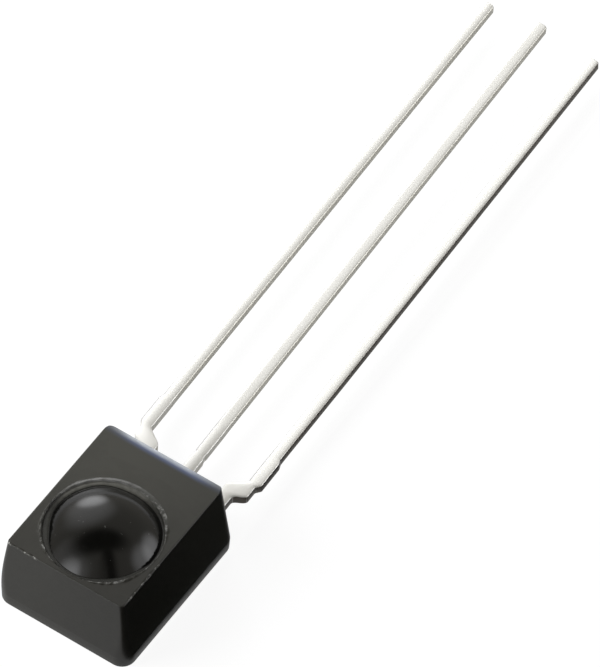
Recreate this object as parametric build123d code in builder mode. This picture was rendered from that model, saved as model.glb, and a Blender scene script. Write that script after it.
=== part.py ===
from build123d import *
import os
from math import radians, tan

os.makedirs("parts", exist_ok=True)

# Infrared receiver module, lying on its back: +X across the leads, +Y towards the lead tips, +Z to the lens.
# The origin is the middle of the back face, and sizes are in millimetres.

# Moulded case: the front half narrows from the parting plane to the front face, the thin back half to the back
side_taper = 0.38
bottom_taper = 0.20
top_taper = 0.24
front_top_corner = 0.45
front_bottom_corner = 0.20
top_edge_round = 0.40
parting_width = 6.18
parting_height = 7.50
parting_rise = 0.10
parting_top_corner = 0.52
parting_bottom_corner = 0.62
front_depth = 3.20
back_depth = 0.60
back_draft = 2.0
back_edge_round = 0.04

# Lens, in one piece with the case: a dome in a shallow round step
lens_y = -0.88
dome_radius = 2.14
dome_height = 1.00
step_width = 0.24
step_depth = 0.07

# Lead strip
pitch = 2.54
lead_thickness = 0.45
lead_width = 0.50
lead_length = 27.80
tip_corner = 0.13
tip_lean = 0.64
middle_rise = 0.47

# Lead shapes outside the case, with lengths from the top of the case at the parting plane
neck_inset = 0.37
neck_width = 0.57
neck_length = 1.17
middle_neck_width = 0.54
shank_width = 0.36
shank_shift = 0.04
outer_slope = 0.26
inner_slope = 0.44
neck_round = 0.10
bar_distance = 2.17
bar_length = 1.48
bar_overhang = 0.07
bar_bevel = 0.06
bar_notch = 0.16

# Chips and the conductive glue under them
glue_thickness = 0.03
glue_margin = 0.06
chip_thickness = 0.25
diode_size = 1.50
receiver_width = 1.30
receiver_height = 1.10
chip_gap = 0.69
pad_inset = 0.16

# Leads inside the case: the island under both chips, and a post on either side for the wire beside it
island_margin = 0.35
island_landing = 0.65
island_taper = 0.30
post_gap = 0.35
post_width = 0.95
post_foot = 0.60
post_reach = 1.45
post_taper = 0.25
lock_radius = 0.22
lock_gap = 0.83

# Bond wires
wire_radius = 0.015
foot_radius = 0.045
foot_height = 0.03
wire_rise = 0.20
wire_knee = 0.30
wire_spread = 0.28
ground_reach = 0.40

# Heights and places that follow from the sizes above
front_width = parting_width - 2 * side_taper
front_height = parting_height - bottom_taper - top_taper
front_rise = parting_rise + (bottom_taper - top_taper) / 2
case_depth = back_depth + front_depth
case_top = parting_rise + parting_height / 2
lead_bottom = back_depth
lead_top = lead_bottom + lead_thickness
glue_top = lead_top + glue_thickness
chip_top = glue_top + chip_thickness
dome_base = case_depth - step_depth
dome_curve = (dome_radius**2 + dome_height**2) / (2 * dome_height)
back_inset = back_depth * tan(radians(back_draft))
tip_y = case_top + lead_length
bar_start = case_top + bar_distance
bar_end = bar_start + bar_length
neck_end = bar_start - (bar_bevel + bar_notch) / 2
receiver_y = lens_y + diode_size / 2 + chip_gap + receiver_height / 2
island_width = diode_size + 2 * island_margin
island_bottom = lens_y - diode_size / 2 - island_margin
island_top = receiver_y + receiver_height / 2 + island_landing
post_x = island_width / 2 + post_gap + post_width / 2
post_bottom = receiver_y - post_foot
post_top = receiver_y + post_reach

on_its_base = (Align.CENTER, Align.CENTER, Align.MIN)


def rounded_outline(width, height, top_corner, bottom_corner, rise):
    with BuildSketch(mode=Mode.PRIVATE) as outline:
        with Locations((0, rise)):
            Rectangle(width, height)
        fillet(outline.vertices().group_by(Axis.Y)[-1], top_corner)
        fillet(outline.vertices().group_by(Axis.Y)[0], bottom_corner)
    return outline.sketch


def strip_plan(points):
    # The plan of a lead as a tall prism, leaning towards -X outside the case, with round neck and tip corners.
    leaned = [(x - tip_lean * max(0.0, y - case_top) / lead_length, y) for x, y in points]
    with BuildPart(mode=Mode.PRIVATE) as prism:
        with BuildSketch(Plane.XY) as face:
            with BuildLine():
                Polyline(leaned, close=True)
            make_face()
            fillet(face.vertices().filter_by_position(Axis.Y, case_top, neck_end), neck_round)
            fillet(face.vertices().group_by(Axis.Y)[-1], tip_corner)
        extrude(amount=case_depth)
    return prism.part


def strip_side(start, rise):
    # The strip that a lead is cut from, seen from the side: one thickness high, rising outside the case.
    end = tip_y + lead_width
    end_rise = rise * (end - case_top) / lead_length
    with BuildPart(mode=Mode.PRIVATE) as prism:
        with BuildSketch(Plane.YZ):
            with BuildLine():
                Polyline(
                    (start, lead_bottom),
                    (case_top, lead_bottom),
                    (end, lead_bottom + end_rise),
                    (end, lead_top + end_rise),
                    (case_top, lead_top),
                    (start, lead_top),
                    close=True,
                )
            make_face()
        extrude(amount=parting_width, both=True)
    return prism.part


def outer_lead(side):
    # From the bonding post to the tip: neck, shoulder, narrow shank, the stub of the cut tie bar, long leg.
    neck_out = pitch - neck_inset
    neck_in = neck_out - neck_width
    shank_in = pitch - shank_shift - shank_width / 2
    shank_out = shank_in + shank_width
    shoulder = case_top + neck_length
    leg_in = pitch - lead_width / 2
    leg_out = pitch + lead_width / 2
    outline = [
        (post_x - post_width / 2, post_bottom),
        (post_x + post_width / 2, post_bottom),
        (post_x + post_width / 2, post_top),
        (neck_out, post_top + post_taper),
        (neck_out, shoulder),
        (shank_out, shoulder + outer_slope),
        (shank_out, bar_start - bar_bevel),
        (leg_out + bar_overhang, bar_start),
        (leg_out + bar_overhang, bar_end - bar_bevel),
        (leg_out, bar_end),
        (leg_out, tip_y),
        (leg_in, tip_y),
        (leg_in, bar_start),
        (shank_in, bar_start - bar_bevel),
        (neck_in, shoulder + inner_slope),
        (neck_in, post_top + post_taper),
        (post_x - post_width / 2, post_top),
    ]
    with BuildPart(mode=Mode.PRIVATE) as lead:
        add(strip_plan([(side * x, y) for x, y in outline]))
        add(strip_side(post_bottom, 0.0), mode=Mode.INTERSECT)
        with Locations((side * post_x, receiver_y + lock_gap, lead_bottom)):
            Cylinder(lock_radius, lead_thickness, align=on_its_base, mode=Mode.SUBTRACT)
    return lead.part


def middle_lead():
    # From the chip island to the tip, the same on either side of its centre line.
    half = [
        (island_width / 2, island_bottom),
        (island_width / 2, island_top),
        (middle_neck_width / 2, island_top + island_taper),
        (middle_neck_width / 2, bar_start - bar_notch),
        (shank_width / 2, bar_start - bar_bevel),
        (lead_width / 2, bar_start),
        (lead_width / 2, tip_y),
    ]
    with BuildPart(mode=Mode.PRIVATE) as lead:
        add(strip_plan(half + [(-x, y) for x, y in reversed(half)]))
        add(strip_side(island_bottom, middle_rise), mode=Mode.INTERSECT)
    return lead.part


def flat_block(y, bottom, width, height, thickness):
    # A chip or its glue, centred across the case.
    with BuildPart(mode=Mode.PRIVATE) as block:
        with Locations((0, y, bottom)):
            Box(width, height, thickness, align=on_its_base)
    return block.part


def bond_wire(start, end):
    # A wire between round feet: straight up from the first, a short run across, and down to the second.
    foot_top = Vector(0, 0, foot_height)
    first = Vector(*start) + foot_top
    last = Vector(*end) + foot_top
    bend = first + Vector(0, 0, wire_rise)
    knee = bend + (last - first) * wire_knee
    with BuildPart(mode=Mode.PRIVATE) as wire:
        with BuildLine() as loop:
            Polyline(first, bend, knee, last)
        with BuildSketch(Plane(loop.line @ 0, z_dir=loop.line % 0)):
            Circle(wire_radius)
        sweep(transition=Transition.RIGHT)
        with Locations(start, end):
            Cylinder(foot_radius, foot_height, align=on_its_base)
    return wire.part


# Leads, cut from one strip
with BuildPart() as output_lead:
    add(outer_lead(1))

with BuildPart() as ground_lead:
    add(middle_lead())

with BuildPart() as supply_lead:
    add(outer_lead(-1))

# Photodiode behind the middle of the lens, and the receiver chip above it on the same island
with BuildPart() as diode_glue:
    glue_size = diode_size + 2 * glue_margin
    add(flat_block(lens_y, lead_top, glue_size, glue_size, glue_thickness))

with BuildPart() as photodiode_chip:
    add(flat_block(lens_y, glue_top, diode_size, diode_size, chip_thickness))

with BuildPart() as receiver_glue:
    glue_width = receiver_width + 2 * glue_margin
    glue_height = receiver_height + 2 * glue_margin
    add(flat_block(receiver_y, lead_top, glue_width, glue_height, glue_thickness))

with BuildPart() as receiver_chip:
    add(flat_block(receiver_y, glue_top, receiver_width, receiver_height, chip_thickness))

# Bond wires from the receiver chip's pads to the posts, the island and the photodiode
side_pad = receiver_width / 2 - pad_inset
top_pad = receiver_y + receiver_height / 2 - pad_inset
low_pad = receiver_y - receiver_height / 2 + pad_inset
diode_pad = lens_y + diode_size / 2 - pad_inset
landing = receiver_y + receiver_height / 2 + ground_reach

with BuildPart() as output_wire:
    add(bond_wire((side_pad, receiver_y, chip_top), (post_x, receiver_y, lead_top)))

with BuildPart() as supply_wire:
    add(bond_wire((-side_pad, receiver_y, chip_top), (-post_x, receiver_y, lead_top)))

with BuildPart() as ground_wire:
    add(bond_wire((wire_spread, top_pad, chip_top), (wire_spread, landing, lead_top)))

with BuildPart() as anode_wire:
    add(bond_wire((wire_spread, low_pad, chip_top), (wire_spread, diode_pad, chip_top)))

with BuildPart() as cathode_wire:
    add(bond_wire((-wire_spread, low_pad, chip_top), (-wire_spread, diode_pad, chip_top)))

moulded_in = {
    "output_lead": output_lead,
    "ground_lead": ground_lead,
    "supply_lead": supply_lead,
    "diode_glue": diode_glue,
    "photodiode_chip": photodiode_chip,
    "receiver_glue": receiver_glue,
    "receiver_chip": receiver_chip,
    "output_wire": output_wire,
    "supply_wire": supply_wire,
    "ground_wire": ground_wire,
    "anode_wire": anode_wire,
    "cathode_wire": cathode_wire,
}

# Case, moulded round all of these in one piece with its lens
front_outline = rounded_outline(front_width, front_height, front_top_corner, front_bottom_corner, front_rise)
parting_outline = rounded_outline(
    parting_width,
    parting_height,
    parting_top_corner,
    parting_bottom_corner,
    parting_rise,
)
back_outline = rounded_outline(
    parting_width - 2 * back_inset,
    parting_height - 2 * back_inset,
    parting_top_corner - back_inset,
    parting_bottom_corner - back_inset,
    parting_rise,
)

with BuildPart() as dome:
    with Locations((0, lens_y, dome_base + dome_height - dome_curve)):
        Sphere(dome_curve)
    with Locations((0, lens_y, dome_base)):
        Cylinder(dome_radius, dome_height, align=on_its_base, mode=Mode.INTERSECT)

with BuildPart() as moulded_case:
    with BuildSketch(Plane.XY.offset(back_depth)):
        add(parting_outline)
    with BuildSketch(Plane.XY.offset(case_depth)):
        add(front_outline)
    loft(ruled=True)
    with BuildSketch(Plane.YZ) as side_view:
        with BuildLine():
            Polyline(
                (-parting_height, back_depth),
                (case_top, back_depth),
                (front_rise + front_height / 2, case_depth),
                (-parting_height, case_depth),
                close=True,
            )
        make_face()
        fillet(side_view.vertices().group_by(Axis.Z)[-1].sort_by(Axis.Y)[-1], top_edge_round)
    extrude(amount=parting_width, both=True, mode=Mode.INTERSECT)
    with BuildSketch(Plane.XY):
        add(back_outline)
    with BuildSketch(Plane.XY.offset(back_depth)):
        add(parting_outline)
    loft(ruled=True)
    fillet(moulded_case.faces().sort_by(Axis.Z)[0].edges(), back_edge_round)
    with Locations((0, lens_y, dome_base)):
        Cylinder(dome_radius + step_width, step_depth, align=on_its_base, mode=Mode.SUBTRACT)
    add(dome.part)
    for piece in moulded_in.values():
        add(piece.part, mode=Mode.SUBTRACT)

pieces = {"moulded_case": moulded_case} | moulded_in
for name, piece in pieces.items():
    piece.part.label = name
    export_step(piece.part, f"parts/{name}.step")
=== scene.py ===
import math
import bpy
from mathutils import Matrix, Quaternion, Vector, noise


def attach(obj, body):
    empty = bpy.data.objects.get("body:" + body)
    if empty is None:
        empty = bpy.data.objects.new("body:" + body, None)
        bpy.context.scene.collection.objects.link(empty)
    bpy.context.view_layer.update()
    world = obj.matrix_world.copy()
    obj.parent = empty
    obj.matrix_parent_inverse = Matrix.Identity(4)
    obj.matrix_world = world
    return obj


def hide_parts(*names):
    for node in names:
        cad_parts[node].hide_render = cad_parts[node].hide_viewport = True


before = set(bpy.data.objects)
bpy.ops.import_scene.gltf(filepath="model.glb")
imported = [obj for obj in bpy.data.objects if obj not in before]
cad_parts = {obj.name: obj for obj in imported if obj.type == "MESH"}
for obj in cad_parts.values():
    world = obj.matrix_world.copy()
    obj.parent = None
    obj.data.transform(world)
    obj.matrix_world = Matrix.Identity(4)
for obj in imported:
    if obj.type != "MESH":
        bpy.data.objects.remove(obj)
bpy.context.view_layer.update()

# Infrared receiver module, lying on its back: +X across the leads, +Y towards the lead tips, +Z to the lens.
# The sizes of its pieces are in millimetres, and the scene itself is in metres.
MM = 0.001

# Case
FRONT_WIDTH, FRONT_HEIGHT, FRONT_RISE = 5.42, 7.06, 0.08
FRONT_TOP_CORNER, FRONT_BOTTOM_CORNER = 0.46, 0.19
PARTING_WIDTH, PARTING_HEIGHT, PARTING_RISE = 6.18, 7.50, 0.10
PARTING_TOP_CORNER, PARTING_BOTTOM_CORNER = 0.52, 0.62
BACK_DEPTH, CASE_DEPTH = 0.60, 3.80
FRONT_DEPTH = CASE_DEPTH - BACK_DEPTH
BACK_INSET = BACK_DEPTH * math.tan(math.radians(2.0))
BACK_EDGE, PARTING_EDGE, FRONT_EDGE = 0.04, 0.02, 0.045
TOP_EDGE_ROUND = 0.40

# Edges of the front: worn chips at the lower left and the right, and the round above the leads, which carries
# a painted highlight
LOW_CHIPS_X, LOW_CHIPS_Y = -1.3, -3.3
RIGHT_CHIPS_X, RIGHT_CHIPS_FROM, RIGHT_CHIPS_TO, RIGHT_SPECKS_TO = 2.5, -3.25, -0.7, -0.9
CHIP_SIDEWAYS, CHIP_DOWN = 0.04, 0.05
HIGHLIGHT_EDGE_Y, HIGHLIGHT_EDGE_Z = 2.98, 3.35

# Lens and the shallow round step that it stands in
RING_X, RING_Y, RING_RADIUS = 0.06, -0.90, 2.38
DOME_X, DOME_Y, DOME_RADIUS = 0.12, -0.86, 2.15
DOME_HEIGHT = 1.00
DOME_CURVE = (DOME_RADIUS ** 2 + DOME_HEIGHT ** 2) / (2 * DOME_HEIGHT)
STEP_DEPTH = 0.07
DOME_TOP = CASE_DEPTH - STEP_DEPTH + DOME_HEIGHT
STEP_RISE_FAR, STEP_DROP_RIGHT = 0.06, 0.07
LIP_ROUND = 0.02
GROOVE_WIDTH, GROOVE_DEPTH = 0.03, 0.014
BEAD_MIDDLE, BEAD_HALF, BEAD_HEIGHT = 0.05, 0.12, 0.040

# Shares of its radius by which the foot of the lens spreads at its near side and left, and draws in behind
FOOT_FLARE, FOOT_FLARE_LEFT, FOOT_TUCK_FAR = 0.055, 0.040, 0.018

# Leads
LEAD_THICKNESS, LEAD_LENGTH = 0.45, 27.80
STUB_EDGE, LEG_EDGE = 0.058, 0.090
TIP_LEAN, TIP_CORNER, TIP_NOSE = 0.64, 0.13, 0.06
CASE_TOP = 3.85
TIP_Y = CASE_TOP + LEAD_LENGTH
BAR_START, BAR_END = 6.02, 7.50

# Fineness of the meshes
SIDE_POINTS, CORNER_POINTS, LEAD_CORNER_POINTS, LENS_STEPS, BEAD_ROWS = 72, 12, 6, 36, 5
SIDE_DEPTHS = (2.9, 2.6, 2.3, 2.0, 1.7, 1.4, 1.15, 0.95, 0.8, 0.68, 0.58)
SIDE_DEPTHS += (0.5, 0.43, 0.37, 0.31, 0.26, 0.21, 0.17, 0.13, 0.10, 0.07)
FRONT_REACHES = (0.07, 0.11, 0.15, 0.20, 0.25, 0.30, 0.36, 0.42, 0.48, 0.55)
FRONT_SHARES = (0.56, 0.66, 0.76, 0.84)
BEAD_REACHES = (0.28, 0.22, 0.18, 0.155, 0.13, 0.105, 0.08, 0.055)
TIP_REACHES = (0.22, 0.17, 0.13, 0.10, 0.075, 0.05, 0.03, 0.015, 0.005, 0.0)


# Mesh helpers
def smooth_step(low, high, value):
    t = min(1.0, max(0.0, (value - low) / (high - low)))
    return t * t * (3 - 2 * t)


def near_angle(angle, middle, inner, outer):
    # 1 within inner degrees of the middle direction, falling to 0 at outer. The angle itself is in radians.
    return smooth_step(outer, inner, abs((math.degrees(angle) - middle + 180) % 360 - 180))


def rounded_corner(before, corner, after, reach, steps):
    # An arc that touches both runs at reach from the corner, as a rational curve.
    start = corner + (before - corner).normalized() * reach
    end = corner + (after - corner).normalized() * reach
    half_turn = (before - corner).angle(corner - after) / 2
    weight = math.cos(half_turn)
    arc = []
    for step in range(steps + 1):
        t = step / steps
        a, b, c = (1 - t) ** 2, 2 * t * (1 - t) * weight, t ** 2
        arc.append((start * a + corner * b + end * c) / (a + b + c))
    return arc


def mesh_object(name, vertices, faces, slots, materials):
    mesh = bpy.data.meshes.new(name)
    mesh.from_pydata([vertex * MM for vertex in vertices], [], faces)
    for material in materials:
        mesh.materials.append(material)
    mesh.polygons.foreach_set("material_index", slots)
    mesh.polygons.foreach_set("use_smooth", [True] * len(faces))
    mesh.update()
    piece = bpy.data.objects.new(name, mesh)
    bpy.context.scene.collection.objects.link(piece)
    return piece


# Shape of the case
def rounded_rectangle(width, height, top_corner, bottom_corner, rise):
    # Counterclockwise from the lower right corner. Every outline has the same number of points.
    corners = [(1, -1, bottom_corner), (1, 1, top_corner), (-1, 1, top_corner), (-1, -1, bottom_corner)]
    arcs = []
    for turn, (side_x, side_y, radius) in enumerate(corners):
        centre = Vector((side_x * (width / 2 - radius), rise + side_y * (height / 2 - radius)))
        arc = []
        for step in range(CORNER_POINTS + 1):
            angle = math.radians(90 * (turn - 1 + step / CORNER_POINTS))
            arc.append(centre + radius * Vector((math.cos(angle), math.sin(angle))))
        arcs.append(arc)
    points = []
    for turn, arc in enumerate(arcs):
        following = arcs[(turn + 1) % 4][0]
        points += arc
        points += [arc[-1].lerp(following, step / SIDE_POINTS) for step in range(1, SIDE_POINTS)]
    return points


def front_half_outline(depth):
    # The outline at a depth below the front face. The lower corners widen mostly near the parting plane.
    share = depth / FRONT_DEPTH
    outline = rounded_rectangle(
        FRONT_WIDTH + (PARTING_WIDTH - FRONT_WIDTH) * share,
        FRONT_HEIGHT + (PARTING_HEIGHT - FRONT_HEIGHT) * share,
        FRONT_TOP_CORNER + (PARTING_TOP_CORNER - FRONT_TOP_CORNER) * share,
        FRONT_BOTTOM_CORNER + (PARTING_BOTTOM_CORNER - FRONT_BOTTOM_CORNER) * share ** 3,
        FRONT_RISE + (PARTING_RISE - FRONT_RISE) * share,
    )
    return [Vector((*point, CASE_DEPTH - depth)) for point in outline]


def fit_to_top_round(point):
    # Brings a point near the front edge above the leads onto that edge's large round.
    slope = (PARTING_RISE + PARTING_HEIGHT / 2 - FRONT_RISE - FRONT_HEIGHT / 2) / FRONT_DEPTH
    end_normal = Vector((1.0, slope)).normalized()
    centre_z = CASE_DEPTH - TOP_EDGE_ROUND
    edge_y = FRONT_RISE + FRONT_HEIGHT / 2
    centre_y = edge_y + slope * TOP_EDGE_ROUND - TOP_EDGE_ROUND / end_normal.x
    away = Vector((point.y - centre_y, point.z - centre_z))
    angle = math.atan2(away.y, away.x)
    lowest = math.atan2(end_normal.y, end_normal.x)
    if lowest < angle < math.pi / 2 and away.length > TOP_EDGE_ROUND:
        away = away.normalized() * TOP_EDGE_ROUND
        return Vector((point.x, centre_y + away.x, centre_z + away.y))
    return point


def chipped(front):
    # A point of the front outline, set back where the edge is chipped.
    low = front.y < LOW_CHIPS_Y and front.x < LOW_CHIPS_X
    right = front.x > RIGHT_CHIPS_X and RIGHT_CHIPS_FROM < front.y < RIGHT_CHIPS_TO
    if not (low or right):
        return front
    bite = max(0.0, noise.noise(front * 3.1) + 0.7 * noise.noise(front * 8.0))
    return front - Vector((CHIP_SIDEWAYS * bite if right else 0.0, 0.0, CHIP_DOWN * bite))


def bead_height(point, angle, distance):
    # A low bead round the ring, rough with moulding flash on its left and on its right.
    shape = smooth_step(BEAD_HALF, 0.0, abs(distance - BEAD_MIDDLE))
    rough = max(near_angle(angle, 205, 22, 55), near_angle(angle, 12, 18, 45), near_angle(angle, 320, 12, 30))
    lump = noise.noise(point * 6.0) + 0.6 * noise.noise(point * 13.0)
    even = 0.12 + 0.88 * near_angle(angle, 142, 35, 78) + 0.35 * noise.noise(point * 2.2)
    return BEAD_HEIGHT * shape * max(0.0, even + 1.9 * rough * lump)


def in_zone(zone, points):
    return [(zone, point) for point in points]


def back_and_side(back, parting, sides):
    middle = Vector((0.0, PARTING_RISE, 0.0))
    points = [middle.lerp(back, share) for share in (0.35, 0.7, 0.9)]
    points += rounded_corner(middle, back, parting, BACK_EDGE, 3)
    points.append(back.lerp(parting, 0.6))
    pairs = in_zone("back", points)
    pairs += in_zone("side", rounded_corner(back, parting, sides[0], PARTING_EDGE, 2))
    return pairs + in_zone("side", [fit_to_top_round(side) for side in sides])


def edge_front_and_bead(side, front, ring, out, angle):
    # The rows come closer together where the front is narrow between its edge and the ring.
    width = (ring - front).length
    edge = rounded_corner(side, chipped(front), ring, FRONT_EDGE, 4)
    pairs = in_zone("edge", [fit_to_top_round(point) for point in edge])
    points = []
    for reach in FRONT_REACHES:
        share = min(reach / width, 0.5 + 0.02 * reach)
        points.append(fit_to_top_round(front.lerp(ring, share)))
    points += [front.lerp(ring, share) for share in FRONT_SHARES]
    for distance in BEAD_REACHES:
        reach = min(distance, width * 0.15 * distance / BEAD_REACHES[0])
        spot = ring + out * reach
        points.append(spot + Vector((0, 0, bead_height(spot, angle, reach))))
    return pairs + in_zone("front", points[:-BEAD_ROWS]) + in_zone("bead", points[-BEAD_ROWS:])


def lip_step_and_lens(ring, out, angle):
    # The floor of the step rises on its far side and drops on its right, and the lens meets it in a groove.
    step_depth = STEP_DEPTH - STEP_RISE_FAR * near_angle(angle, 118, 25, 75)
    step_depth += STEP_DROP_RIGHT * near_angle(angle, 28, 28, 52)
    lip = ring + Vector((0, 0, bead_height(ring, angle, 0.0)))
    floor = ring - Vector((0, 0, step_depth))
    pairs = in_zone("lip", rounded_corner(lip + out, lip, floor - out * 0.02, LIP_ROUND, 3))
    sphere_middle = Vector((DOME_X, DOME_Y, DOME_TOP - DOME_CURVE))
    above = CASE_DEPTH - step_depth - sphere_middle.z
    flare = FOOT_FLARE * near_angle(angle, 258, 14, 48) + FOOT_FLARE_LEFT * near_angle(angle, 155, 22, 60)
    flare -= FOOT_TUCK_FAR * near_angle(angle, 82, 12, 45)
    foot = math.sqrt(DOME_CURVE ** 2 - above ** 2) * (1 + flare)
    crease = sphere_middle + Vector((0, 0, above)) + out * foot
    inward = (crease - floor).normalized()
    crease_width = min(GROOVE_WIDTH, 0.4 * (crease - floor).length)
    pairs += in_zone("step", [floor + inward * 0.03, floor + inward * 0.05, floor.lerp(crease, 0.5)])
    pairs += in_zone("step", [crease - inward * crease_width])
    pairs += in_zone("groove", [crease - inward * crease_width * 0.5 - Vector((0, 0, GROOVE_DEPTH))])
    widest = math.acos(above / DOME_CURVE)
    for step in range(LENS_STEPS):
        share = 1 - step / LENS_STEPS
        reach = math.sin(widest * share) * (1 + flare * share ** 2)
        height = Vector((0, 0, math.cos(widest * share)))
        pairs += in_zone("lens", [sphere_middle + DOME_CURVE * (out * reach + height)])
    return pairs


def case_columns():
    # For each point of the outline, zones and points from the middle of the back over the side to the lens.
    back_outline = rounded_rectangle(
        PARTING_WIDTH - 2 * BACK_INSET,
        PARTING_HEIGHT - 2 * BACK_INSET,
        PARTING_TOP_CORNER - BACK_INSET,
        PARTING_BOTTOM_CORNER - BACK_INSET,
        PARTING_RISE,
    )
    outlines = [front_half_outline(depth) for depth in (0.0, FRONT_DEPTH, *SIDE_DEPTHS)]
    columns = []
    for back, front, parting, *sides in zip(back_outline, *outlines):
        angle = math.atan2(front.y - RING_Y, front.x - RING_X)
        out = Vector((math.cos(angle), math.sin(angle), 0.0))
        ring = Vector((RING_X, RING_Y, CASE_DEPTH)) + out * RING_RADIUS
        column = back_and_side(Vector((*back, 0.0)), parting, sides)
        column += edge_front_and_bead(sides[-1], front, ring, out, angle)
        columns.append(column + lip_step_and_lens(ring, out, angle))
    return columns


# Shape of the leads
def width_at(run, y):
    # The x of a run of (y, x) points, softened a little outside the case so that its bends are round.
    reach = 0.09 if y > CASE_TOP + 0.1 else 0.0
    total = 0.0
    for offset in (-1.0, -0.5, 0.0, 0.5, 1.0):
        place = min(max(y + offset * reach, run[0][0]), run[-1][0])
        for (y0, x0), (y1, x1) in zip(run, run[1:]):
            if y0 <= place <= y1:
                total += x0 + (x1 - x0) * (place - y0) / (y1 - y0)
                break
    return total / 5


def mirrored(run):
    return [(y, -x) for y, x in run]


def drawn_in(radius, from_tip):
    # How far a rounded end of this radius has drawn in at a distance from its tip.
    return radius - math.sqrt(radius ** 2 - max(0.0, radius - from_tip) ** 2)


def lead_section(low_x, high_x, bottom, top, edge, crown):
    # A rounded bar's section, counterclockwise from the lower left as seen with +X to the right and +Z up.
    points = []
    for turn, (side_x, side_z) in enumerate(((-1, -1), (1, -1), (1, 1), (-1, 1))):
        centre_x = low_x + edge if side_x < 0 else high_x - edge
        centre_z = bottom + edge if side_z < 0 else top - edge
        for step in range(LEAD_CORNER_POINTS + 1):
            angle = math.radians(180 + 90 * (turn + step / LEAD_CORNER_POINTS))
            points.append((centre_x + edge * math.cos(angle), centre_z + edge * math.sin(angle)))
        if turn == 2:
            for share in (0.17, 0.33, 0.5, 0.67, 0.83):
                points.append((high_x - edge - share * (high_x - low_x - 2 * edge), top))
    middle = (low_x + high_x) / 2
    half = (high_x - low_x) / 2
    domed = []
    for x, z in points:
        across = (x - middle) / half
        upper = max(0.0, (z - bottom) / (top - bottom) * 2 - 1)
        domed.append((x, z - crown * across ** 2 * upper))
    return domed


def lead_stations(start):
    # Places of the sections along a lead, close together at its bends and its tip.
    stations = [start, start + 0.02]
    stations += [start + 0.25 * step for step in range(1, 30) if start + 0.25 * step < CASE_TOP - 0.1]
    stations += [CASE_TOP + 0.03 * step for step in range(-3, 128)]
    past_bar = stations[-1]
    stations += [past_bar + 0.5 * step for step in range(1, 48) if past_bar + 0.5 * step < TIP_Y - 0.3]
    return stations + [TIP_Y - reach for reach in TIP_REACHES]


def lead_mesh(low_run, high_run, rise, stub_crown, leg_crown, twist):
    # Rows of sections from the inner end to the tip. Twist tilts the front face, in degrees.
    stations = lead_stations(low_run[0][0])
    vertices, faces = [], []
    middle_z = BACK_DEPTH + LEAD_THICKNESS / 2
    for y in stations:
        outside = max(0.0, y - CASE_TOP)
        lean = TIP_LEAN * outside / LEAD_LENGTH
        lift = rise * outside / LEAD_LENGTH
        corner = drawn_in(TIP_CORNER, TIP_Y - y)
        nose = drawn_in(TIP_NOSE, TIP_Y - y)
        low_x, high_x = width_at(low_run, y), width_at(high_run, y)
        bottom, top = BACK_DEPTH + nose, BACK_DEPTH + LEAD_THICKNESS - nose
        on_leg = smooth_step(BAR_END - 0.1, BAR_END + 0.3, y)
        edge = STUB_EDGE + (LEG_EDGE - STUB_EDGE) * on_leg
        crown = (leg_crown + (stub_crown - leg_crown) * (1 - on_leg)) * smooth_step(3.6, 4.2, y)
        tilt = math.radians(twist) * smooth_step(4.5, 7.0, y)
        middle = (low_x + high_x) / 2
        for x, z in lead_section(low_x + corner, high_x - corner, bottom, top, edge, crown):
            turned_x = middle + (x - middle) * math.cos(tilt) - (z - middle_z) * math.sin(tilt)
            turned_z = middle_z + (x - middle) * math.sin(tilt) + (z - middle_z) * math.cos(tilt)
            vertices.append(Vector((turned_x - lean, y, turned_z + lift)))
    ring = len(vertices) // len(stations)
    for row in range(len(stations) - 1):
        for column in range(ring):
            a, b = row * ring + column, row * ring + (column + 1) % ring
            faces.append((a, b, b + ring, a + ring))
    faces.append(tuple(reversed(range(ring))))
    faces.append(tuple(range(len(vertices) - ring, len(vertices))))
    return vertices, faces


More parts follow.
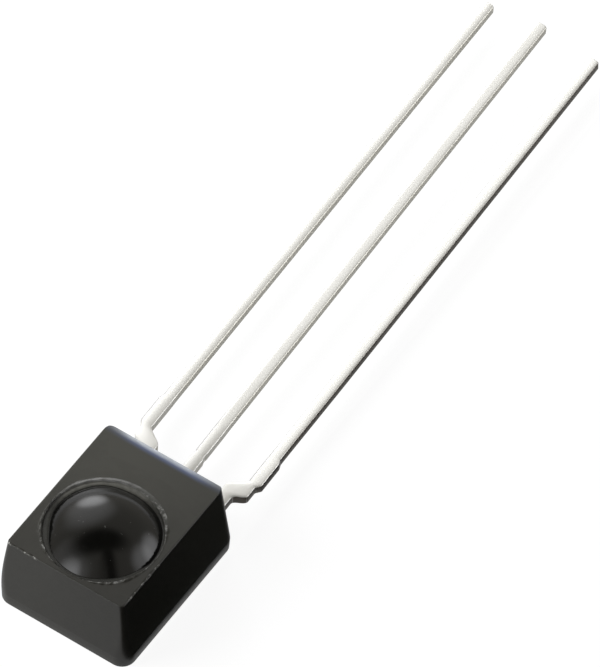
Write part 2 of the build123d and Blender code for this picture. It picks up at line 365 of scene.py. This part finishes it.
# Material helpers
class Nodes:
    def __init__(self, tree):
        self.tree = tree
        tree.nodes.clear()

    def set(self, socket, value):
        if isinstance(value, bpy.types.NodeSocket):
            self.tree.links.new(value, socket)
        else:
            socket.default_value = value

    def add(self, kind, inputs=None, **settings):
        node = self.tree.nodes.new(kind)
        for key, value in settings.items():
            setattr(node, key, value)
        for key, value in (inputs or {}).items():
            self.set(node.inputs[key], value)
        return node

    def math(self, operation, *values):
        return self.add("ShaderNodeMath", dict(enumerate(values)), operation=operation).outputs[0]

    def product(self, first, *others):
        for other in others:
            first = self.math("MULTIPLY", first, other)
        return first

    def dot(self, a, b):
        return self.add("ShaderNodeVectorMath", {0: a, 1: b}, operation="DOT_PRODUCT").outputs["Value"]

    def scaled(self, colour, share):
        return self.add("ShaderNodeVectorMath", {0: colour, "Scale": share}, operation="SCALE").outputs[0]

    def ramp(self, value, low, high, out_low=0.0, out_high=1.0):
        inputs = {"Value": value, "From Min": low, "From Max": high, "To Min": out_low, "To Max": out_high}
        return self.add("ShaderNodeMapRange", inputs, interpolation_type="SMOOTHSTEP").outputs["Result"]

    def mix(self, share, a, b):
        a, b = [end if isinstance(end, bpy.types.NodeSocket) else (*end, 1) for end in (a, b)]
        return self.add("ShaderNodeMix", {"Factor": share, 6: a, 7: b}, data_type="RGBA").outputs[2]

    def where(self):
        return self.add("ShaderNodeTexCoord").outputs["Object"]

    def along(self, *direction):
        # How far a place lies along a direction, in millimetres.
        return self.dot(self.where(), [share / MM for share in direction])

    def facing(self, *direction):
        return self.dot(self.add("ShaderNodeNewGeometry").outputs["Normal"], direction)

    def noise(self, scale, detail=3.0, roughness=0.55, stretch=(1.0, 1.0, 1.0), seed=0.0):
        # Scale is in features per millimetre.
        shift = (seed, seed * 0.7, seed * 1.3)
        size = [scale * share / MM for share in stretch]
        mapping = self.add("ShaderNodeMapping", {"Vector": self.where(), "Location": shift, "Scale": size})
        inputs = {"Vector": mapping.outputs[0], "Scale": 1.0, "Detail": detail, "Roughness": roughness}
        return self.add("ShaderNodeTexNoise", inputs).outputs["Fac"]

    def relief(self, depth, height):
        # A fine relief, with its depth in millimetres.
        inputs = {"Strength": 1.0, "Distance": depth * MM, "Height": height}
        return self.add("ShaderNodeBump", inputs).outputs[0]

    def finish(self, colour, roughness, normal=None, specular=0.5, metallic=0.0):
        inputs = {"Base Color": colour, "Roughness": roughness, "Metallic": metallic}
        inputs["Specular IOR Level"] = specular
        if normal is not None:
            inputs["Normal"] = normal
        shader = self.add("ShaderNodeBsdfPrincipled", inputs)
        self.add("ShaderNodeOutputMaterial", {"Surface": shader.outputs[0]})


def new_material(name):
    material = bpy.data.materials.new(name)
    material.use_nodes = True
    return material, Nodes(material.node_tree)


def surface(name, dark, light, scale, rough, bump, specular=0.5, metallic=0.0):
    # A finish whose colour, roughness and fine relief vary with noise.
    material, nodes = new_material(name)
    colour = nodes.mix(nodes.ramp(nodes.noise(scale), 0.3, 0.7), dark, light)
    grain = nodes.noise(scale * 5, seed=3.0)
    nodes.finish(colour, nodes.ramp(grain, 0.25, 0.75, *rough), nodes.relief(bump, grain), specular, metallic)
    return material


# Finishes of the case
def moulded_epoxy():
    # Satin epoxy with painted light and shade: a little paler towards the leads and darker to the right.
    material, nodes = new_material("moulded_epoxy")
    painted_light_towards_leads = nodes.ramp(nodes.along(0, 1, 0), -3.6, 3.9)
    even = nodes.mix(painted_light_towards_leads, (0.0205, 0.0199, 0.0165), (0.0400, 0.0397, 0.0335))
    painted_shade_to_right = nodes.ramp(nodes.along(1, 0, 0), -1.5, 2.8, 1.0, 0.70)
    patches = nodes.ramp(nodes.noise(2.2, seed=1.0), 0.3, 0.7, 0.94, 1.06)
    colour = nodes.scaled(even, nodes.product(patches, painted_shade_to_right))
    grain = nodes.noise(9.0, seed=4.0)
    nodes.finish(colour, nodes.ramp(grain, 0.25, 0.75, 0.28, 0.36), nodes.relief(0.0015, grain))
    return material


def lens_epoxy():
    # Glossy black epoxy with a few tiny pale specks of dust.
    material, nodes = new_material("lens_epoxy")
    patches = nodes.ramp(nodes.noise(0.6), 0.3, 0.7)
    plain = nodes.mix(patches, (0.0010, 0.0010, 0.0008), (0.0018, 0.0018, 0.0015))
    speck = nodes.ramp(nodes.noise(5.5, detail=2.0, seed=12.0), 0.715, 0.80, 0.0, 0.8)
    roughness = nodes.ramp(nodes.noise(3.0, seed=3.0), 0.25, 0.75, 0.13, 0.19)
    nodes.finish(nodes.mix(speck, plain, (0.11, 0.11, 0.105)), roughness)
    return material


def painted_highlight_edge_epoxy():
    # The round above the leads, with a painted reflection and a painted highlight: bluish where it leaves the
    # front face, then a pale streak broken up by noise.
    material, nodes = new_material("painted_highlight_edge_epoxy")
    across, out = nodes.along(1, 0, 0), nodes.along(0, 1, 0)
    fade = nodes.ramp(nodes.facing(0, 1, 0), 0.96, 0.82)
    blue_left = nodes.ramp(across, -2.7, -0.9, 0.2, 1.0)
    blue_right = nodes.ramp(across, 2.6, 1.3, 0.25, 1.0)
    painted_blue_reflection = nodes.product(nodes.ramp(out, 3.05, 3.30), nodes.product(blue_left, blue_right), fade)
    # The pale streak is a painted highlight, fading towards both ends of the round.
    pale_left = nodes.ramp(across, -2.7, -1.2, 0.12, 0.95)
    pale_right = nodes.ramp(across, 2.6, 0.3, 0.22, 1.0)
    streaks = nodes.ramp(nodes.noise(1.6, stretch=(1.0, 3.0, 3.0), seed=5.0), 0.30, 0.60, 0.72, 1.0)
    pale = nodes.product(nodes.ramp(out, 3.22, 3.50), nodes.product(pale_left, pale_right), fade, streaks)
    # The epoxy here is darker to the right, as painted shade.
    epoxy = nodes.mix(nodes.ramp(across, -1.5, 2.8), (0.0395, 0.0392, 0.0330), (0.0278, 0.0276, 0.0233))
    bluish = nodes.mix(painted_blue_reflection, epoxy, (0.072, 0.088, 0.148))
    nodes.finish(nodes.mix(pale, bluish, (0.62, 0.66, 0.70)), nodes.ramp(painted_blue_reflection, 0.0, 1.0, 0.32, 0.45))
    return material


def step_epoxy():
    # The floor of the round step, with painted light and shade: as pale as the front face on its far side,
    # darker on the near one.
    material, nodes = new_material("step_epoxy")
    far = nodes.ramp(nodes.along(-0.5, 0.9, 0), -0.1, 1.6)
    even = nodes.mix(far, (0.020, 0.020, 0.0175), (0.078, 0.077, 0.068))
    colour = nodes.scaled(even, nodes.ramp(nodes.noise(4.0), 0.3, 0.7, 0.8, 1.2))
    nodes.finish(colour, nodes.ramp(far, 0.0, 1.0, 0.45, 0.30))
    return material


def specks_and_highlight_epoxy(name, plain, pale, low, high, scale, rough, painted_highlight_colour=None):
    # Epoxy with pale specks where a fine noise passes the low limit, and a painted highlight that makes it
    # paler at the ring's upper left.
    material, nodes = new_material(name)
    specks = nodes.ramp(nodes.noise(scale, detail=4.0, roughness=0.65, seed=9.0), low, high)
    if painted_highlight_colour:
        beyond = nodes.along(-0.66, 0.75, 0)
        broken = nodes.ramp(nodes.noise(2.4, seed=6.0), 0.35, 0.62, 0.30, 1.0)
        plain = nodes.mix(nodes.product(nodes.ramp(beyond, 0.2, 1.6, 0.0, 0.9), broken), plain, painted_highlight_colour)
        specks = nodes.product(specks, nodes.ramp(beyond, 0.4, 1.4, 0.8, 0.15))
    nodes.finish(nodes.mix(specks, plain, pale), nodes.ramp(specks, 0.0, 1.0, *rough))
    return material


# The ring's third colour is a painted highlight on the bead's upper left.
RING_PLAIN, RING_PALE, RING_PAINTED_HIGHLIGHT = (0.034, 0.0335, 0.030), (0.22, 0.22, 0.21), (0.115, 0.115, 0.112)
CHIP_PLAIN, CHIP_PALE = (0.033, 0.0325, 0.029), (0.30, 0.30, 0.28)
# The groove's colours are darker than the step's, as painted shade in the crease round the lens.
GROOVE_DARK, GROOVE_LIGHT = (0.010, 0.010, 0.009), (0.020, 0.0195, 0.017)
FLAT, LENS, HIGHLIGHT_EDGE, STEP, GROOVE, BEAD, CHIPPED = range(7)
case_finishes = [
    moulded_epoxy(),
    lens_epoxy(),
    painted_highlight_edge_epoxy(),
    step_epoxy(),
    surface("groove_epoxy", GROOVE_DARK, GROOVE_LIGHT, 4.0, (0.5, 0.6), 0.002, 0.3),
    specks_and_highlight_epoxy("bead_epoxy", RING_PLAIN, RING_PALE, 0.50, 0.70, 5.0, (0.35, 0.5), RING_PAINTED_HIGHLIGHT),
    specks_and_highlight_epoxy("chipped_epoxy", CHIP_PLAIN, CHIP_PALE, 0.48, 0.66, 6.0, (0.4, 0.6)),
]
ZONE_FINISHES = {
    "back": FLAT,
    "side": FLAT,
    "edge": FLAT,
    "front": FLAT,
    "bead": BEAD,
    "lip": BEAD,
    "step": STEP,
    "groove": GROOVE,
    "lens": LENS,
}


def case_finish(zone, spot):
    # The round above the leads takes the finish with the painted highlight and reflection.
    if zone in ("side", "edge", "front") and spot.y > HIGHLIGHT_EDGE_Y and spot.z > HIGHLIGHT_EDGE_Z:
        return HIGHLIGHT_EDGE
    low = spot.y < LOW_CHIPS_Y and spot.x < LOW_CHIPS_X
    right = spot.x > RIGHT_CHIPS_X and RIGHT_CHIPS_FROM < spot.y < RIGHT_SPECKS_TO
    if zone == "edge" and (low or right):
        return CHIPPED
    return ZONE_FINISHES[zone]


# Case, in one mesh with its lens
columns = case_columns()
rows = len(columns[0])
vertices = [point for column in columns for zone, point in column]
bottom_pole, top_pole = len(vertices), len(vertices) + 1
vertices.append(Vector((0.0, PARTING_RISE, 0.0)))
vertices.append(Vector((DOME_X, DOME_Y, DOME_TOP)))
faces, slots = [], []
for index, column in enumerate(columns):
    here = index * rows
    there = (index + 1) % len(columns) * rows
    faces.append((bottom_pole, there, here))
    slots.append(FLAT)
    for row in range(rows - 1):
        faces.append((here + row, there + row, there + row + 1, here + row + 1))
        slots.append(case_finish(column[row + 1][0], column[row][1]))
    faces.append((here + rows - 1, there + rows - 1, top_pole))
    slots.append(LENS)
case = mesh_object("case_shell", vertices, faces, slots, case_finishes)
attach(case, "root")
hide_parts("moulded_case")


# Finish of the leads
def tinned(name, cut_side_and_shade, leg_side):
    # Bright tin on the faces; the side at +X is duller and darker, as painted shade: a crisp cut near the
    # case, where bare cut metal adds to it, and a soft edge on the legs.
    material, nodes = new_material(name)
    to_right, to_case, along = nodes.facing(1, 0, 0), nodes.facing(0.45, -0.89, 0), nodes.along(0, 1, 0)
    on_bar = nodes.ramp(along, BAR_START - 0.15, BAR_START + 0.1)
    on_leg = nodes.ramp(along, BAR_END - 0.2, BAR_END + 1.0)
    cut_and_shade = nodes.ramp(nodes.math("MAXIMUM", to_right, to_case), 0.72, 0.96)
    painted_shade_and_dull_side = nodes.ramp(to_right, 0.35, 0.88)
    patches = nodes.ramp(nodes.noise(0.9, detail=1.0, stretch=(1.0, 0.12, 1.0)), 0.3, 0.7)
    tin = nodes.mix(patches, (0.905, 0.90, 0.865), (0.955, 0.95, 0.92))
    left_line = nodes.product(nodes.ramp(to_right, -0.10, -0.55), on_bar)
    near_case = nodes.mix(cut_and_shade, nodes.mix(left_line, tin, (0.42, 0.41, 0.42)), cut_side_and_shade)
    colour = nodes.mix(on_leg, near_case, nodes.mix(painted_shade_and_dull_side, tin, leg_side))
    grain = nodes.noise(2.0, detail=0.0, stretch=(1.0, 0.15, 1.0), seed=3.0)
    dulled = nodes.product(painted_shade_and_dull_side, on_leg, 0.10)
    roughness = nodes.math("ADD", nodes.ramp(grain, 0.25, 0.75, 0.28, 0.33), dulled)
    nodes.finish(colour, roughness, metallic=0.5)
    return material


# The colours for the side at +X are painted shade, near black for the output lead.
tin_light_side = tinned("tin_plate", (0.88, 0.86, 0.78), (0.78, 0.76, 0.68))
tin_dark_side = tinned("tin_plate_shaded_side", (0.11, 0.095, 0.080), (0.22, 0.20, 0.17))

# Edges of the leads, as runs of (y, x) from the centre line
OUTER_LEAD_IN = [(0.51, 1.45), (2.56, 1.45), (2.81, 1.60), (5.46, 1.60)]
OUTER_LEAD_IN += [(5.96, 2.32), (BAR_START, 2.29), (TIP_Y, 2.29)]
OUTER_LEAD_OUT = [(0.51, 2.40), (2.56, 2.40), (2.81, 2.17), (5.02, 2.17), (5.28, 2.68)]
BAR_SIDE_OUT = [(BAR_START, 2.86), (BAR_END - 0.06, 2.86), (BAR_END, 2.79)]
OUTPUT_LEAD_OUT = OUTER_LEAD_OUT + [(5.96, 2.68)] + BAR_SIDE_OUT + [(12.0, 2.815), (TIP_Y, 2.81)]
SUPPLY_LEAD_OUT = OUTER_LEAD_OUT + [(5.80, 2.68)] + BAR_SIDE_OUT + [(TIP_Y, 2.789)]
MIDDLE_LEAD = [(-1.98, 1.10), (2.31, 1.10), (2.61, 0.27), (5.86, 0.27)]
MIDDLE_LEAD += [(5.96, 0.18), (BAR_START, 0.25), (TIP_Y, 0.25)]

# Each lead's edges at -X and +X, rise of its tip, crowns of its stub and its leg, twist and finish
LEADS = {
    "output_lead": (OUTER_LEAD_IN, OUTPUT_LEAD_OUT, 0.0, 0.024, 0.022, 3.0, tin_dark_side),
    "ground_lead": (mirrored(MIDDLE_LEAD), MIDDLE_LEAD, 0.47, 0.032, 0.010, -2.0, tin_light_side),
    "supply_lead": (
        mirrored(SUPPLY_LEAD_OUT), mirrored(OUTER_LEAD_IN), 0.0, 0.036, 0.032, 0.0, tin_light_side
    ),
}
for name, (low_run, high_run, rise, stub_crown, leg_crown, twist, finish) in LEADS.items():
    vertices, faces = lead_mesh(low_run, high_run, rise, stub_crown, leg_crown, twist)
    lead = mesh_object("tinned_" + name, vertices, faces, [0] * len(faces), [finish])
    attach(lead, "root")
    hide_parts(name)

# Finishes of the nodes that stay
silicon = surface("silicon", (0.10, 0.11, 0.14), (0.20, 0.21, 0.25), 4.0, (0.15, 0.25), 0.001, 0.6)
glue = surface("die_glue", (0.45, 0.45, 0.43), (0.62, 0.62, 0.60), 6.0, (0.6, 0.8), 0.004)
gold = surface("gold_wire", (0.85, 0.62, 0.25), (0.95, 0.75, 0.38), 8.0, (0.18, 0.28), 0.001, 0.5, 1.0)
NODE_FINISHES = {
    "photodiode_chip": silicon,
    "receiver_chip": silicon,
    "diode_glue": glue,
    "receiver_glue": glue,
    "output_wire": gold,
    "supply_wire": gold,
    "ground_wire": gold,
    "anode_wire": gold,
    "cathode_wire": gold,
}
for name, finish in NODE_FINISHES.items():
    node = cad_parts[name]
    node.data.materials.clear()
    node.data.materials.append(finish)

# Camera, at the photograph's viewing angle
CAMERA_PLACE = (0.101224836, -0.152985017, 0.261240454)
CAMERA_AIM = (-0.000213311, 0.013284805, 0.0008)
CAMERA_ROLL = 0.0537292524
camera_data = bpy.data.cameras.new("camera")
camera_data.lens = 442.25
camera_data.sensor_width = 36.0
camera_data.clip_start = 0.01
camera_data.clip_end = 5.0
camera = bpy.data.objects.new("camera", camera_data)
bpy.context.scene.collection.objects.link(camera)
camera.location = CAMERA_PLACE
camera.rotation_mode = "QUATERNION"
look = (Vector(CAMERA_AIM) - camera.location).to_track_quat("-Z", "Y")
camera.rotation_quaternion = look @ Quaternion((0, 0, 1), CAMERA_ROLL)
bpy.context.scene.camera = camera


# Floor: white to the camera, dimmer in reflections, with a little of the lamps' light and the object's shadow
def seen_and_glossy(nodes):
    path = nodes.add("ShaderNodeLightPath")
    seen = nodes.math("MAXIMUM", path.outputs["Is Camera Ray"], path.outputs["Is Transmission Ray"])
    return seen, path.outputs["Is Glossy Ray"]


def level_plane(name, x_range, y_range, z, material):
    mesh = bpy.data.meshes.new(name)
    corners = [(x_range[i], y_range[j], z) for i, j in ((0, 0), (1, 0), (1, 1), (0, 1))]
    mesh.from_pydata([Vector(corner) * MM for corner in corners], [], [(0, 1, 2, 3)])
    mesh.materials.append(material)
    plane = bpy.data.objects.new(name, mesh)
    bpy.context.scene.collection.objects.link(plane)
    return plane


FLOOR_SEEN_NEAR, FLOOR_SEEN_FAR, FLOOR_REFLECTED, FLOOR_BOUNCED = 0.93, 1.0, 0.42, 0.15
floor_material, nodes = new_material("floor")
seen, glossy = seen_and_glossy(nodes)
matte = nodes.add("ShaderNodeBsdfDiffuse", {"Color": (0.11, 0.11, 0.11, 1)})
reflected = nodes.math("MAXIMUM", nodes.product(glossy, FLOOR_REFLECTED), FLOOR_BOUNCED)
where = nodes.where()
seen_floor = nodes.ramp(nodes.dot(where, where), 0.04 ** 2, 0.25 ** 2, FLOOR_SEEN_NEAR, FLOOR_SEEN_FAR)
strength = nodes.math("MAXIMUM", nodes.product(seen, seen_floor), reflected)
glow = nodes.add("ShaderNodeEmission", {"Strength": strength})
both = nodes.add("ShaderNodeAddShader", {0: matte.outputs[0], 1: glow.outputs[0]})
nodes.add("ShaderNodeOutputMaterial", {"Surface": both.outputs[0]})
floor = level_plane("floor", (-1500.0, 1500.0), (-1500.0, 1500.0), 0.0, floor_material)

# A dark card on the floor, which keeps the right side dark. The camera doesn't see it.
card_material, nodes = new_material("card")
matte = nodes.add("ShaderNodeBsdfDiffuse", {"Color": (0.015, 0.015, 0.015, 1)})
nodes.add("ShaderNodeOutputMaterial", {"Surface": matte.outputs[0]})
card = level_plane("card", (3.25, 90.0), (-60.0, 60.0), 0.02, card_material)
card.visible_camera = False
card.visible_shadow = False


# World: white to the camera, a soft studio in reflections, and a little even light
def direction(azimuth, elevation):
    a, e = math.radians(azimuth), math.radians(elevation)
    return (math.sin(a) * math.cos(e), -math.cos(a) * math.cos(e), math.sin(e))


world = bpy.data.worlds.new("studio")
bpy.context.scene.world = world
world.use_nodes = True
nodes = Nodes(world.node_tree)
seen, glossy = seen_and_glossy(nodes)
toward = nodes.add("ShaderNodeTexCoord").outputs["Generated"]
height = nodes.dot(toward, (0, 0, 1))


def lobe(azimuth, elevation, inner, outer, strength):
    # Full strength within inner degrees of a direction, falling to nothing at outer.
    near = nodes.dot(toward, direction(azimuth, elevation))
    return nodes.ramp(near, math.cos(math.radians(outer)), math.cos(math.radians(inner)), 0.0, strength)


def squared_share(way, shift, reach):
    share = nodes.math("DIVIDE", nodes.math("ADD", nodes.dot(toward, way), shift), reach)
    return nodes.product(share, share)


# Soft lights of the studio, each with its azimuth and elevation, inner and outer degrees, and strength
lamps = 0.0
for light in (
    (-134, 15, 0, 17, 2.6),
    (-124, 34, 2, 36, 0.85),
    (131, 14, 1, 23, 1.9),
    (110, 23, 2, 25, 1.25),
    (-20, 24, 1, 24, 2.1),
    (-40, 26, 4, 34, 0.4),
    (-8, 28, 4, 30, 0.55),
):
    lamps = nodes.math("ADD", lamps, lobe(*light))

# A dark bar overhead and its stem, like the dark T that the photograph's lens mirrors
bar_along = squared_share((0.82, 0.57, 0), 0.09, 0.68)
bar_across = squared_share((-0.57, 0.82, 0), 0.06, 0.36)
bar_reach = nodes.ramp(nodes.math("ADD", bar_along, bar_across), 1.5, 0.25, 0.0, 0.88)
bar = nodes.product(bar_reach, nodes.ramp(height, 0.3, 0.6))
stem_across = nodes.math("ABSOLUTE", nodes.dot(toward, (0.68, 0.73, 0)))
stem = nodes.product(nodes.ramp(stem_across, 0.25, 0.05), lobe(47, 42, 26, 46, 0.86))
unshaded = nodes.math("SUBTRACT", 1.0, nodes.math("MAXIMUM", bar, stem))

# A slightly warm room with slightly cool lights
EVEN_LIGHT = 0.08
room = nodes.ramp(height, -0.05, 0.25, 0.36, 0.43)
warm_room = nodes.scaled((1.04, 1.0, 0.90), nodes.product(room, unshaded))
cool_lamps = nodes.scaled((0.98, 0.99, 1.02), nodes.product(lamps, unshaded))
studio = nodes.add("ShaderNodeVectorMath", {0: warm_room, 1: cool_lamps}, operation="ADD").outputs[0]
colour = nodes.mix(seen, nodes.mix(glossy, (EVEN_LIGHT, EVEN_LIGHT, EVEN_LIGHT), studio), (1, 1, 1))
background = nodes.add("ShaderNodeBackground", {"Color": colour})
nodes.add("ShaderNodeOutputWorld", {"Surface": background.outputs[0]})

# Lamps: a large soft key from the left, a weak fill from the front, and a window from the left behind
for name, azimuth, elevation, distance, size, energy in (
    ("key", -50, 34, 0.6, 0.35, 4.0),
    ("fill", 15, 25, 0.6, 0.35, 1.0),
    ("window", -145, 22, 0.16, 0.10, 0.24),
):
    lamp_data = bpy.data.lights.new(name, "AREA")
    lamp_data.shape = "SQUARE"
    lamp_data.size = size
    lamp_data.energy = energy
    lamp = bpy.data.objects.new(name, lamp_data)
    lamp.location = Vector(direction(azimuth, elevation)) * distance
    lamp.rotation_mode = "QUATERNION"
    lamp.rotation_quaternion = (-lamp.location).to_track_quat("-Z", "Y")
    lamp.visible_glossy = False
    lamp.visible_camera = False
    bpy.context.scene.collection.objects.link(lamp)

bpy.context.scene.view_settings.view_transform = "Standard"
